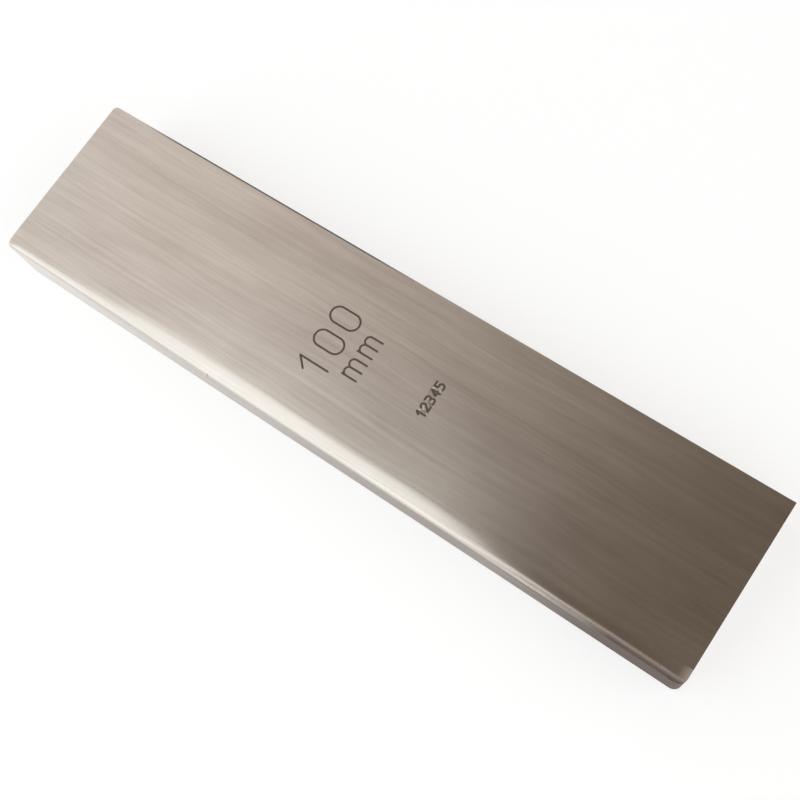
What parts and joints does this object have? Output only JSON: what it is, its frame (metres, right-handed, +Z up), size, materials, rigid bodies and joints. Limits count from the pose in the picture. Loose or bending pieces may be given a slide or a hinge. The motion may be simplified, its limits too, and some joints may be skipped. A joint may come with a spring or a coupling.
{
  "type": "gauge block",
  "caption": "Flat steel gauge block: a brushed rectangular bar with lapped end faces that set a length, fine edge chamfers and one dressed long edge.",
  "frame": {"origin": "centre of the underside, on the surface that the block lies on", "axes": "+X along the length from one measuring face to the other, +Y across the marked face away from the dressed edge, +Z up out of the marked face"},
  "size_m": [0.1, 0.0234, 0.009],
  "materials": {
    "gauge_steel": "hardened tool steel, brushed along its length on the wide faces, lapped bright on the end faces"
  },
  "bodies": {
    "root": {"gauge_block": "gauge_steel"}
  },
  "joints": []
}
